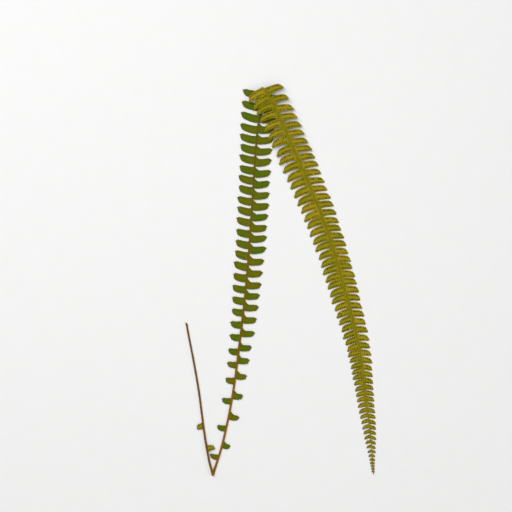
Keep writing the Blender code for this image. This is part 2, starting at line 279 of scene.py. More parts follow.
def smooth_route(route, step=1.0):
    """Points about a step apart on a smooth curve through the route's own points, from the frond's middle."""
    points = np.array(route, float) - MIDDLE
    along = lengths_along(points)
    slopes = np.gradient(points, along, axis=0)
    found = []
    for place in range(len(points) - 1):
        gap = along[place + 1] - along[place]
        for t in np.linspace(0, 1, max(2, round(gap / step)), endpoint=False):
            late = t * t * (3 - 2 * t)
            found.append(
                points[place] * (1 - late)
                + points[place + 1] * late
                + slopes[place] * gap * t * (1 - t) ** 2
                - slopes[place + 1] * gap * t * t * (1 - t)
            )
    found.append(points[-1])
    return np.array(found)


class Stalk:
    """A stretch of the stalk: its middle line and, at each point, the way the leaf's upper face looks."""

    def __init__(self, points, upper, start=0):
        self.points = np.array(points, float)
        self.upper = np.array(upper, float)
        self.along = lengths_along(self.points) + start
        self.ways = np.gradient(self.points, self.along, axis=0)

    def at(self, distance):
        """The place, the way to the tip, the way to the right and the way that the upper face looks."""
        place, way, upper = (
            np.array([np.interp(distance, self.along, column) for column in table.T])
            for table in (self.points, self.ways, self.upper)
        )
        way /= np.linalg.norm(way)
        right = np.cross(way, upper)
        right /= np.linalg.norm(right)
        return place, way, right, np.cross(right, way)


def lay_stipe():
    """The stipe lies on the surface and rises a little where it is folded back over the rachis."""
    plan = smooth_route(STIPE_ROUTE)
    distances = lengths_along(plan) - lengths_along(plan)[-1]
    rest = STALK_FLATNESS * np.array([by_distance(STALK_RADIUS, distance) for distance in distances])
    heights = rest + KINK_LIFT * ease(1 + distances / KINK_LENGTH)
    return Stalk(np.column_stack([plan, heights]), np.tile((0, 0, -1), (len(plan), 1)), distances[0])


def lay_rachis():
    """Up the left leg, round the fold and down the right leg. Gives where the fold starts and ends too."""
    left = smooth_route(LEFT_ROUTE)
    points = [
        (x, y, STALK_FLATNESS * by_distance(STALK_RADIUS, distance))
        for (x, y), distance in zip(left, lengths_along(left))
    ]
    upper = [(0, 0, 1)] * len(points)
    fold_start = lengths_along(np.array(points))[-1]

    fold_line = Vector((math.cos(FOLD_LINE_TURN), math.sin(FOLD_LINE_TURN), 0))
    outward = Vector((-fold_line.y, fold_line.x, 0))
    heading = Vector((*(left[-1] - left[-2]), 0))
    slip = heading.dot(fold_line) / heading.dot(outward)
    corner = Vector(points[-1])
    for turn in np.linspace(0, math.pi, FOLD_STEPS + 1)[1:]:
        place = corner + fold_line * (slip * FOLD_RADIUS * turn) + outward * (FOLD_RADIUS * math.sin(turn))
        place.z += FOLD_RADIUS * (1 - math.cos(turn))
        points.append(tuple(place))
        upper.append((*(-math.sin(turn) * outward).xy, math.cos(turn)))
    fold_end = lengths_along(np.array(points))[-1]

    fold_foot = (points[-1][0] + MIDDLE[0], points[-1][1] + MIDDLE[1])
    right = smooth_route((fold_foot, *RIGHT_ROUTE))
    for (x, y), distance in list(zip(right, lengths_along(right)))[1:]:
        rest = by_distance(STALK_RADIUS, fold_end + distance)
        drop = corner.z + 2 * FOLD_RADIUS - rest
        points.append((x, y, rest + drop * float(ease(1 - distance / SETTLE_LENGTH))))
        upper.append((0, 0, -1))
    return Stalk(points, upper), fold_start, fold_end


def pinna_places(side, end, fold_start, fold_end):
    """Distances of the pinnae on one side, closer and closer to each other towards the tip."""
    distance = FIRST_PINNA[side]
    places = []
    while distance < end:
        if fold_start - FOLD_MARGIN < distance < fold_end + AFTER_FOLD[side]:
            distance = fold_end + AFTER_FOLD[side]
        places.append(distance)
        distance += by_distance(PITCH[side], distance)
    return places


def scallops(along, whim):
    """Rounded teeth with sharp notches between them, along one margin."""
    gap = TOOTH_GAP * whim.uniform(*TOOTH_GAP_RANGE)
    phase = whim.random()
    return np.abs(np.sin(math.pi * (along / gap + phase))) ** TOOTH_SHARPNESS - TOOTH_MIDDLE


class Blade:
    """One pinna as two grids of points: the face towards the sky and the one towards the floor."""

    def __init__(self, stalk, distance, side, draw, whim):
        place, way, right, upper = stalk.at(distance)
        lean = math.radians(by_distance(LEAN[side], distance)) + SWING * draw.uniform(-1, 1)
        axis = way * math.cos(lean) + right * (side * math.sin(lean))
        across = way * math.sin(lean) - right * (side * math.cos(lean))
        length = by_distance(LENGTH[side], distance) * (1 + UNEVEN * draw.uniform(-1, 1))
        width = by_distance(WIDTH[side], distance) * (1 + UNEVEN * draw.uniform(-1, 1))
        width *= by_distance(FULLNESS[side], distance)
        twist = math.sin(TWIST * draw.uniform(-1, 1))
        bend = by_distance(SICKLE[side], distance) * length
        ear = by_distance(EAR[side], distance)
        radius = by_distance(STALK_RADIUS, distance)
        self.underside_up = upper[2] < 0
        self.mirrored = np.cross(axis, across)[2] < 0
        self.length = length

        count = max(FEWEST_ROWS, round(length / ROW_GAP))
        even = np.linspace(0, 1, count + 1)
        share = (1 - END_CROWDING) * even + END_CROWDING * (1 - np.cos(math.pi * even)) / 2
        along = ROOT_SUNK * radius + share * (length - ROOT_SUNK * radius)
        rows = SMALL_ROWS if length < SMALL_PINNA else PINNA_ROWS
        free = np.maximum(0, share - rows[1][0]) / (1 - rows[1][0])

        toothed = TOOTH_DEPTH * ease((share - TEETH_START) / TEETH_RISE)
        toothed = toothed * (TEETH_AT_BASE + TEETH_TIPWARD * share) * min(1, width / FULL_TEETH_WIDTH)
        below = width * rounded([(s, low) for s, low, high in rows], share) + toothed * scallops(along, whim)
        above = width * rounded([(s, high or ear) for s, low, high in rows], share)
        above += toothed * scallops(along, whim)
        if self.underside_up:
            below += BASE_SPREAD * width * (1 - ease(share / SPREAD_BELOW))
            above += BASE_SPREAD * width * (1 - ease(share / SPREAD_ABOVE))
        else:
            below -= BASE_LOBE * width * (1 - ease(share / LOBE_REACH))
            above -= CORNER_SLOPE * width * ease((share - CORNER_START) / (1 - CORNER_START))
        middle = MIDRIB_SHIFT * width * share**3
        t = COLUMNS[None, :]
        reach = np.where(t < 0, (middle + below)[:, None], (above - middle)[:, None])
        aside = middle[:, None] + t * reach

        fullness = min(1, width / FULL_END_WIDTH)
        notch = TIP_NOTCH * whim.uniform(*NOTCH_RANGE) * fullness
        if self.underside_up:
            notch *= TURNED_OVER_NOTCH
        notch_place = whim.uniform(*NOTCH_PLACES)
        tipward = (np.clip((share - END_START) / (1 - END_START), 0, 1) ** END_POWER)[:, None]
        corner = CORNER_ROUNDING[self.underside_up][side]
        blunt = np.where(t < 0, 1, corner) * np.abs(t) ** BLUNT_POWER
        bite = np.exp(-(((t - notch_place) / NOTCH_HALF_WIDTH) ** 2))
        cut = notch * bite + TIP_ROUNDING * width * blunt
        far = along[:, None] - tipward * cut

        skyward = 1 if upper[2] > 0 else -1
        free = free[:, None]
        phase = whim.random()
        turns = far / WAVE_LENGTH + phase + WAVE_OFFSET * np.sign(t)
        waves = WAVE_HEIGHT * np.sin(2 * math.pi * turns) * t**2
        curl = TIP_CURL * whim.uniform(*CURL_RANGE) * tipward * fullness
        height = ROOT_HEIGHT + ROOT_RISE * radius * (1 - ease(share / ROOT_REACH))[:, None]
        height = height + aside * (twist + SHINGLE) * free
        sky = ARCH * 4 * free * (1 - free) - TIP_DROOP * free + waves * ease(free * WAVE_START) + curl
        spot = (
            place
            + axis * far[..., None]
            + across * (aside + bend * free**2)[..., None]
            + upper * (height + skyward * sky)[..., None]
        )
        spot[..., 2] = np.maximum(spot[..., 2], LOWEST_MIDDLE)

        ridge = np.exp(-((t / RIDGE_WIDTH) ** 2)) * (1 - RIDGE_FADING * share[:, None])
        half = BLADE_THICKNESS / 2 * (1 - MARGIN_THINNING * t**4)
        bumps = (MIDRIB_HEIGHT, -MIDRIB_CHANNEL) if self.underside_up else (-MIDRIB_CHANNEL, MIDRIB_HEIGHT)
        self.sky = spot.copy()
        self.floor = spot.copy()
        self.sky[..., 2] += half + bumps[0] * ridge
        self.floor[..., 2] -= half + bumps[1] * ridge

        self.along = far
        self.aside = aside - middle[:, None]
        self.share = np.broadcast_to(share[:, None], aside.shape)
        self.margin = np.clip(1 - (1 - np.abs(t)) * reach / MARGIN_WIDTH, 0, 1)
        self.tone = whim.random()

    def underside(self, share, t):
        """A place on the leaf's underside and the way that the surface looks there."""
        grid = self.sky if self.underside_up else self.floor
        row = np.interp(share, self.share[:, 0], np.arange(len(grid)))
        column = np.interp(t, COLUMNS, np.arange(len(COLUMNS)))
        i, j = min(int(row), len(grid) - 2), min(int(column), len(COLUMNS) - 2)
        u, v = row - i, column - j
        a, b, c, d = grid[i, j], grid[i + 1, j], grid[i, j + 1], grid[i + 1, j + 1]
        place = a * (1 - u) * (1 - v) + b * u * (1 - v) + c * (1 - u) * v + d * u * v
        look = np.cross(b - a, c - a)
        look /= np.linalg.norm(look)
        wanted = 1 if self.underside_up else -1
        return place, look if look[2] * wanted > 0 else -look


def blade_faces(rows, columns, mirrored):
    """Faces of a closed blade whose sky grid comes first and whose floor grid comes second."""
    sky = np.arange(rows * columns).reshape(rows, columns)
    floor = sky + rows * columns
    top = np.stack([sky[:-1, :-1], sky[1:, :-1], sky[1:, 1:], sky[:-1, 1:]], axis=-1)
    bottom = np.stack([floor[:-1, :-1], floor[:-1, 1:], floor[1:, 1:], floor[1:, :-1]], axis=-1)
    ring = np.concatenate([sky[0, :-1], sky[:-1, -1], sky[-1, :0:-1], sky[:0:-1, 0]])
    onward = np.roll(ring, -1)
    below = rows * columns
    rim = np.stack([ring, onward, onward + below, ring + below], axis=-1)
    faces = [top.reshape(-1, 4), bottom.reshape(-1, 4), rim]
    if mirrored:
        faces = [block[:, ::-1] for block in faces]
    return faces


def new_object(name, data):
    made = bpy.data.objects.new(name, data)
    bpy.context.scene.collection.objects.link(made)
    return made


def shade(mesh, sharp=60):
    mesh.shade_smooth()
    mesh.set_sharp_from_angle(angle=math.radians(sharp))


def put_uv(mesh, per_vertex):
    corners = np.empty(len(mesh.loops), dtype=np.int32)
    mesh.loops.foreach_get("vertex_index", corners)
    layer = mesh.uv_layers.new(name="blade")
    layer.uv.foreach_set("vector", per_vertex[corners].astype(np.float32).ravel())


def put_marks(mesh, name, kind, values):
    """Numbers kept at each vertex for the materials."""
    layer = mesh.attributes.new(name, kind, "POINT")
    field = {"FLOAT_VECTOR": "vector", "FLOAT": "value"}[kind]
    layer.data.foreach_set(field, np.asarray(values, np.float32).ravel())


def make_pinnae(name, blades, sky_material, floor_material):
    """All the blades of one leg in one piece, each a closed body of its own."""
    spots, faces, finish, uv, marks = [], [], [], [], []
    offset = 0
    for blade in blades:
        rows, columns = blade.aside.shape
        for grid in (blade.sky, blade.floor):
            spots.append(grid.reshape(-1, 3))
            uv.append(np.stack([blade.along, UV_SPAN / 2 + blade.aside], axis=-1).reshape(-1, 2) / UV_SPAN)
            tone = np.full(blade.aside.shape, blade.tone)
            marks.append(np.stack([tone, blade.margin, blade.share], axis=-1).reshape(-1, 3))
        blocks = blade_faces(rows, columns, blade.mirrored)
        for block, index in zip(blocks, (0, 1, 0)):
            faces.append(block + offset)
            finish.append(np.full(len(block), index))
        offset += 2 * rows * columns
    mesh = bpy.data.meshes.new(name)
    mesh.from_pydata(np.concatenate(spots) * MM, [], np.concatenate(faces).tolist())
    mesh.materials.append(sky_material)
    mesh.materials.append(floor_material)
    mesh.polygons.foreach_set("material_index", np.concatenate(finish).astype(np.int32))
    put_uv(mesh, np.concatenate(uv))
    put_marks(mesh, "marks", "FLOAT_VECTOR", np.concatenate(marks))
    shade(mesh)
    return new_object(name, mesh)


# The stalk: one tube from the cut end of the stipe through the kink and the fold to the frond's tip
STALK_SIDES = 20
STALK_STEP = 1.6
GROOVE_DEPTH = 0.22
GROOVE_HALF_ANGLE = 0.42
KINK_CRUSH = 0.3
KINK_REACH = 7
STALK_UNEVEN = 0.045
CUT_SLANT = 0.5
LUMPS, LUMP_PACES, MOST_LUMP_TURNS, LUMP_SOFTNESS = 9, (0.02, 0.12), 3, 3
CENTIMETRE = 10
STALK_CREASE = 50
LOWEST_POINT = 0.02


def stalk_line(stipe, rachis):
    """Rings of the whole stalk: distance, place, way, right and upper of each."""
    rings = []
    for distance in np.arange(stipe.along[0], -STALK_STEP / 2, STALK_STEP):
        rings.append((distance, *stipe.at(distance)))
    last, first = stipe.at(0), rachis.at(0)
    drop = last[0][2] - first[0][2]
    outward = last[1] - first[1]
    outward[2] = 0
    outward /= np.linalg.norm(outward)
    for turn in np.linspace(0, math.pi, KINK_STEPS):
        mid = (last[0] + first[0]) / 2
        place = mid + outward * (0.5 * drop * math.sin(turn)) + np.array((0, 0, 0.5 * drop * math.cos(turn)))
        way = outward * math.cos(turn) + np.array((0, 0, -math.sin(turn)))
        right = last[2] * (1 - turn / math.pi) + first[2] * turn / math.pi
        right /= np.linalg.norm(right)
        rings.append((0, place, way, right, np.cross(right, way)))
    end = rachis.along[-1]
    places = list(np.arange(STALK_STEP, end, STALK_STEP)) + [end]
    for distance in places:
        rings.append((distance, *rachis.at(distance)))
    return rings


def make_stalk(stipe, rachis, material, whim):
    rings = stalk_line(stipe, rachis)
    angles = np.arange(STALK_SIDES) * 2 * math.pi / STALK_SIDES
    from_upper = np.abs(np.mod(angles - math.pi / 2 + math.pi, 2 * math.pi) - math.pi)
    groove = 1 - GROOVE_DEPTH * np.exp(-((from_upper / GROOVE_HALF_ANGLE) ** 2))
    lumps = [
        (whim.uniform(*LUMP_PACES), whim.random() * 2 * math.pi, whim.randint(0, MOST_LUMP_TURNS))
        for _ in range(LUMPS)
    ]
    spots, grain = [], []
    travelled = 0
    before = rings[0][1]
    for distance, place, way, right, upper in rings:
        travelled += float(np.linalg.norm(place - before))
        before = place
        radius = by_distance(STALK_RADIUS, distance)
        crush = KINK_CRUSH * math.exp(-((distance / KINK_REACH) ** 2))
        uneven = sum(np.sin(travelled * pace + phase + turns * angles) for pace, phase, turns in lumps)
        reach = radius * groove * (1 - STALK_UNEVEN * np.abs(uneven / LUMP_SOFTNESS))
        sideways = reach * (1 + crush) * np.cos(angles)
        upward = reach * STALK_FLATNESS * (1 - crush) * np.sin(angles)
        ring = place + right * sideways[:, None] + upper * upward[:, None]
        ring[:, 2] = np.maximum(ring[:, 2], LOWEST_POINT)
        spots.append(ring)
        far = np.full(STALK_SIDES, travelled / CENTIMETRE)
        grain.append(np.column_stack([np.cos(angles), np.sin(angles), far]))
    slant = CUT_SLANT * np.cos(angles)[:, None] * rings[0][2]
    spots[0] = spots[0] + slant
    count = len(rings)
    body = np.arange(count * STALK_SIDES).reshape(count, STALK_SIDES)
    beside = np.roll(body, -1, axis=1)
    walls = np.stack([body[:-1], body[1:], beside[1:], beside[:-1]], axis=-1).reshape(-1, 4)
    faces = walls.tolist() + [body[0].tolist(), body[-1][::-1].tolist()]
    mesh = bpy.data.meshes.new("stalk")
    mesh.from_pydata(np.concatenate(spots) * MM, [], faces)
    form = bmesh.new()
    form.from_mesh(mesh)
    bmesh.ops.recalc_face_normals(form, faces=form.faces)
    form.to_mesh(mesh)
    form.free()
    put_marks(mesh, "grain", "FLOAT_VECTOR", np.concatenate(grain))
    ways = np.concatenate([np.tile(ring[2], (STALK_SIDES, 1)) for ring in rings])
    put_marks(mesh, "way", "FLOAT_VECTOR", ways)
    mesh.materials.append(material)
    shade(mesh, STALK_CREASE)
    return new_object("stalk", mesh)


# Small helpers for node trees
def add_node(tree, kind, settings=None, inputs=None):
    """A node with its settings, and its inputs given by name or number as values or as links."""
    node = tree.nodes.new(kind)
    for key, value in (settings or {}).items():
        setattr(node, key, value)
    for key, value in (inputs or {}).items():
        if isinstance(value, bpy.types.NodeSocket):
            tree.links.new(value, node.inputs[key])
        else:
            node.inputs[key].default_value = value
    return node


def calc(tree, operation, a, b=0.0, clamp=False):
    settings = {"operation": operation, "use_clamp": clamp}
    return add_node(tree, "ShaderNodeMath", settings, {0: a, 1: b}).outputs[0]


def times(tree, a, b):
    return calc(tree, "MULTIPLY", a, b)


def split(tree, joint):
    return add_node(tree, "ShaderNodeSeparateXYZ", None, {0: joint}).outputs


def joined(tree, x=0.0, y=0.0, z=0.0):
    return add_node(tree, "ShaderNodeCombineXYZ", None, {0: x, 1: y, 2: z}).outputs[0]


def ramp(tree, value, low, high, at_low=0.0, at_high=1.0):
    """A soft step from one value to another."""
    settings = {"interpolation_type": "SMOOTHSTEP", "clamp": True}
    inputs = {"Value": value, "From Min": low, "From Max": high, "To Min": at_low, "To Max": at_high}
    return add_node(tree, "ShaderNodeMapRange", settings, inputs).outputs["Result"]


def blend(tree, share, first, second):
    settings = {"data_type": "RGBA", "clamp_factor": True}
    return add_node(tree, "ShaderNodeMix", settings, {0: share, 6: first, 7: second}).outputs[2]


def noise(tree, vector, scale, detail=3.0, roughness=0.55):
    inputs = {"Vector": vector, "Scale": scale, "Detail": detail, "Roughness": roughness}
    return add_node(tree, "ShaderNodeTexNoise", None, inputs).outputs["Fac"]


def new_group(name, kind, inputs, outputs):
    """An empty node group. Inputs and outputs are (name, socket type, value) and (name, socket type)."""
    tree = bpy.data.node_groups.new(name, kind)
    for label, socket, value in inputs:
        made = tree.interface.new_socket(name=label, in_out="INPUT", socket_type=socket)
        if value is not None:
            made.default_value = value
    for label, socket in outputs:
        tree.interface.new_socket(name=label, in_out="OUTPUT", socket_type=socket)
    entry = tree.nodes.new("NodeGroupInput")
    leave = tree.nodes.new("NodeGroupOutput")
    return tree, entry.outputs, leave.inputs


FLOAT, COLOUR, VECTOR = "NodeSocketFloat", "NodeSocketColor", "NodeSocketVector"

# Scales of the noise in the materials. A bigger one gives a finer grain
VEIN_WANDER = 14.0
LEAF_BROAD, LEAF_PATCHES, LEAF_FINE = 45.0, 150.0, 420.0
LEAF_CRINKLE, LEAF_SPECKS, LEAF_CELLS = 650.0, 2300.0, 5200.0
HEAP_BROAD, HEAP_GRAINS = 260.0, 9000.0
STALK_BANDS, STALK_SPECKS, SCALE_BROAD, PAPER_BROAD = 0.9, 1500.0, 900.0, 60.0
MIDDLE_OF_NOISE = 0.5

# The midrib's half width in millimetres at its root and at the end of a long pinna
MIDRIB_CORE, MIDRIB_LENGTH, MIDRIB_WIDTHS = 0.1, 18.0, (0.5, 0.22)

# What turns a leaf yellow, and where yellow, brown and specks set in. The brown at the margins is partly real
# browning and partly painted shade along the edges
TONE_WEIGHT, BROAD_WEIGHT, PATCH_WEIGHT, FINE_WEIGHT = 0.26, 0.5, 0.9, 0.45
YELLOWING, EDGE_BROWNING_AND_SHADE, TIP_BROWNING = (0.8, 1.3), (0.5, 1.15), (0.95, 1.2)
BLOTCHING, SPECKLING, SPECK_STRENGTH = (0.54, 0.68), (0.68, 0.74), 0.6


def make_vein_group():
    """Midrib and once-forked side veins of a pinna, drawn in millimetres on its own map."""
    tree, given, result = new_group(
        "pinna veins", "ShaderNodeTree",
        (
            ("Map", VECTOR, None), ("Gap", FLOAT, 1.05), ("Slant", FLOAT, 0.55), ("Fork", FLOAT, 0.9),
            ("Spread", FLOAT, 0.22), ("Width", FLOAT, 0.16), ("Wobble", FLOAT, 0.25),
        ),
        (("Veins", FLOAT), ("Midrib", FLOAT)),
    )
    apart = split(tree, given["Map"])
    along = times(tree, apart[0], UV_SPAN)
    aside = times(tree, calc(tree, "SUBTRACT", apart[1], 0.5), UV_SPAN)
    away = calc(tree, "ABSOLUTE", aside)
    wander = calc(tree, "SUBTRACT", noise(tree, given["Map"], VEIN_WANDER), MIDDLE_OF_NOISE)
    drift = times(tree, wander, given["Wobble"])
    slanted = times(tree, away, given["Slant"])
    base = calc(tree, "ADD", calc(tree, "SUBTRACT", along, slanted), drift)
    parting = calc(tree, "MAXIMUM", calc(tree, "SUBTRACT", away, given["Fork"]), 0.0)
    shift = times(tree, parting, given["Spread"])
    masks = []
    for way in ("ADD", "SUBTRACT"):
        turns = calc(tree, "DIVIDE", calc(tree, way, base, shift), given["Gap"])
        off = calc(tree, "ABSOLUTE", calc(tree, "SUBTRACT", calc(tree, "FRACT", turns), 0.5))
        gap = times(tree, off, given["Gap"])
        masks.append(ramp(tree, gap, times(tree, given["Width"], 0.25), given["Width"], 1.0, 0.0))
    tree.links.new(calc(tree, "MAXIMUM", masks[0], masks[1]), result["Veins"])
    rib = ramp(tree, away, MIDRIB_CORE, ramp(tree, along, 0.0, MIDRIB_LENGTH, *MIDRIB_WIDTHS), 1.0, 0.0)
    tree.links.new(rib, result["Midrib"])
    return tree


def make_drying_group():
    """A dried leaf's colour: each pinna its own tone, margins darkened by browning and by painted shade along
    the edges, blotches and a few dark specks.
    """
    tree, given, result = new_group(
        "dried leaf colour", "ShaderNodeTree",
        (
            ("Place", VECTOR, None), ("Marks", VECTOR, None),
            ("Margin", FLOAT, 0.6), ("Blotches", FLOAT, 0.5),
            ("Fresh", COLOUR, (0.1, 0.15, 0.01, 1)),
            ("Yellowed", COLOUR, (0.15, 0.14, 0.01, 1)),
            ("Browned_and_shaded", COLOUR, (0.2, 0.12, 0.02, 1)),
            ("Speck", COLOUR, (0.05, 0.03, 0.01, 1)),
        ),
        (("Colour", COLOUR), ("Dryness and edge shade", FLOAT)),
    )
    marks = split(tree, given["Marks"])
    tone, margin, share = marks
    broad = noise(tree, given["Place"], LEAF_BROAD, 2.0)
    fine = noise(tree, given["Place"], LEAF_FINE, 4.0, 0.65)
    grains = noise(tree, given["Place"], LEAF_SPECKS, 2.0)
    patches = noise(tree, given["Place"], LEAF_PATCHES, 3.0)
    leaning = times(tree, tone, TONE_WEIGHT)
    for part, weight in ((broad, BROAD_WEIGHT), (patches, PATCH_WEIGHT), (fine, FINE_WEIGHT)):
        leaning = calc(tree, "ADD", leaning, times(tree, part, weight))
    yellow = ramp(tree, leaning, *YELLOWING)
    colour = blend(tree, yellow, given["Fresh"], given["Yellowed"])
    # The margins darken partly from browning and partly from painted shade, which stands in for the contact
    # shadow along each pinna's edges
    near_edge = calc(tree, "ADD", margin, times(tree, fine, 0.6))
    browned_and_shaded_edge = times(tree, ramp(tree, near_edge, *EDGE_BROWNING_AND_SHADE), given["Margin"])
    near_tip = calc(tree, "ADD", share, times(tree, tone, 0.25))
    tipped = times(tree, ramp(tree, near_tip, *TIP_BROWNING), given["Margin"])
    spots = times(tree, ramp(tree, fine, *BLOTCHING), given["Blotches"])
    # Brown here holds the darker margins too, so it carries painted shade as well as browning
    brown = calc(tree, "MAXIMUM", calc(tree, "MAXIMUM", browned_and_shaded_edge, tipped), spots)
    colour = blend(tree, brown, colour, given["Browned_and_shaded"])
    specks = times(tree, ramp(tree, grains, *SPECKLING), SPECK_STRENGTH)
    colour = blend(tree, specks, colour, given["Speck"])
    tree.links.new(colour, result["Colour"])
    tree.links.new(brown, result["Dryness and edge shade"])
    return tree


def make_fibre_group():
    """Long fine fibres and darker bands on a dried stalk, from its own grain: round it, and along it."""
    tree, given, result = new_group(
        "stalk fibres", "ShaderNodeTree",
        (("Grain", VECTOR, None), ("Fineness", FLOAT, 6.0), ("Length", FLOAT, 1.0)),
        (("Fibres", FLOAT), ("Bands", FLOAT)),
    )
    apart = split(tree, given["Grain"])
    long_way = times(tree, apart[2], given["Length"])
    stretched = joined(tree, apart[0], apart[1], long_way)
    tree.links.new(noise(tree, stretched, given["Fineness"], 4.0, 0.6), result["Fibres"])
    tree.links.new(noise(tree, given["Grain"], STALK_BANDS, 3.0), result["Bands"])
    return tree


def new_material(name):
    """A material with its node tree, its shader and the place of each point on the piece."""
    material = bpy.data.materials.new(name)
    material.use_nodes = True
    tree = material.node_tree
    place = tree.nodes.new("ShaderNodeTexCoord").outputs["Object"]
    return material, tree, tree.nodes["Principled BSDF"], place


def set_finish(tree, shader, colour, gloss, relief=None, strength=0.0, depth=0.0):
    """The shader's colour and shine, and its relief with a strength and a depth in metres."""
    tree.links.new(colour, shader.inputs["Base Color"])
    shader.inputs["Specular IOR Level"].default_value = gloss
    if relief is not None:
        inputs = {"Strength": strength, "Distance": depth, "Height": relief}
        bump = add_node(tree, "ShaderNodeBump", None, inputs)
        tree.links.new(bump.outputs[0], shader.inputs["Normal"])


def read(tree, name):
    return add_node(tree, "ShaderNodeAttribute", {"attribute_name": name})


def use_group(tree, group, inputs):
    return add_node(tree, "ShaderNodeGroup", {"node_tree": group}, inputs)


DRIED_LOOKS = ("fresh", "yellowed", "browned_and_shaded", "speck", "margin", "blotches")


def make_leaf_material(name, groups, looks):
    """A leaf face. Looks give the colours, how the veins stand out and how much the face shines."""
    material, tree, shader, place = new_material(name)
    leaf_map = add_node(tree, "ShaderNodeUVMap", {"uv_map": "blade"}).outputs[0]
    marks = read(tree, "marks").outputs["Vector"]
    veins = use_group(tree, groups["veins"], {"Map": leaf_map})
    dried_looks = {name.capitalize(): looks[name] for name in DRIED_LOOKS}
    drying = use_group(tree, groups["drying"], {"Place": place, "Marks": marks, **dried_looks})
    colour = drying.outputs["Colour"]
    for part, look in (("Veins", "vein"), ("Midrib", "midrib")):
        share = times(tree, veins.outputs[part], looks[look + "_strength"])
        colour = blend(tree, share, colour, looks[look])
    cells = noise(tree, place, LEAF_CELLS, 2.0, 0.7)
    crinkle = noise(tree, place, LEAF_CRINKLE, 3.0)
    relief = times(tree, veins.outputs["Veins"], looks["vein_relief"])
    for part, weight in ((cells, 0.35), (crinkle, 0.9)):
        relief = calc(tree, "ADD", relief, times(tree, part, weight))
    set_finish(tree, shader, colour, looks["gloss"], relief, 0.55, 0.12 * MM)
    uneven = times(tree, calc(tree, "SUBTRACT", crinkle, MIDDLE_OF_NOISE), 0.25)
    dried = times(tree, drying.outputs["Dryness and edge shade"], 0.15)
    rough = calc(tree, "ADD", calc(tree, "ADD", looks["roughness"], uneven), dried, clamp=True)
    tree.links.new(rough, shader.inputs["Roughness"])
    return material


UPPER_LOOKS = {
    "fresh": (0.078, 0.142, 0.0004, 1),
    "yellowed": (0.15, 0.145, 0.001, 1),
    # This colour also darkens the margins, where it is partly painted shade along the edges
    "browned_and_shaded": (0.1, 0.078, 0.0008, 1),
    "speck": (0.05, 0.04, 0.002, 1),
    "vein": (0.07, 0.09, 0.001, 1),
    "midrib": (0.17, 0.15, 0.006, 1),
    "margin": 0.8,
    "blotches": 0.35,
    "vein_strength": 0.3,
    "midrib_strength": 0.4,
    "vein_relief": -0.8,
    "roughness": 0.6,
    "gloss": 0.06,
}
UNDER_LOOKS = {
    "fresh": (0.22, 0.21, 0.001, 1),
    "yellowed": (0.36, 0.275, 0.008, 1),
    # This colour also darkens the margins, where it is partly painted shade along the edges
    "browned_and_shaded": (0.15, 0.085, 0.001, 1),
    "speck": (0.11, 0.065, 0.002, 1),
    "vein": (0.32, 0.27, 0.02, 1),
    "midrib": (0.36, 0.29, 0.03, 1),
    "margin": 0.4,
    "blotches": 0.8,
    "vein_strength": 0.35,
    "midrib_strength": 0.75,
    "vein_relief": 0.8,
    "roughness": 0.75,
    "gloss": 0.04,
}

# Colours of the spore heaps
HEAP_DARK, HEAP_RUST, HEAP_PALE = (0.05, 0.036, 0.0005, 1), (0.085, 0.045, 0.001, 1), (0.13, 0.075, 0.002, 1)

# The stalk's colours, and where they change along it, in centimetres from the cut end
STIPE_BROWN, UNDERSIDE_OLIVE = (0.2, 0.085, 0.006, 1), (0.3, 0.27, 0.006, 1)
STALK_ORANGE, STALK_OCHRE, STALK_OLIVE = (0.38, 0.125, 0.002, 1), (0.2, 0.11, 0.001, 1), (0.13, 0.1, 0.001, 1)
BAND_BROWN, FIBRE_BROWN = (0.12, 0.06, 0.004, 1), (0.13, 0.065, 0.004, 1)
SPECK_BROWN = (0.06, 0.028, 0.003, 1)
STIPE_END, ORANGE_TO_OCHRE, OCHRE_TO_OLIVE = (13.5, 18.0), (18.0, 36.0), (36.0, 50.0)

# Colours of the scales
SCALE_BROWN, SCALE_PALE = (0.17, 0.075, 0.01, 1), (0.3, 0.17, 0.04, 1)


def make_sorus_material():
    """Ripe spore heaps: dark rusty olive, grainy and matte."""
    material, tree, shader, place = new_material("spore heaps")
    grains = noise(tree, place, HEAP_GRAINS, 3.0, 0.7)
    broad = noise(tree, place, HEAP_BROAD, 2.0)
    colour = blend(tree, ramp(tree, broad, 0.3, 0.7), HEAP_DARK, HEAP_RUST)
    colour = blend(tree, ramp(tree, grains, 0.4, 0.75), colour, HEAP_PALE)
    set_finish(tree, shader, colour, 0.08, grains, 0.8, 0.1 * MM)
    shader.inputs["Roughness"].default_value = 0.85
    return material


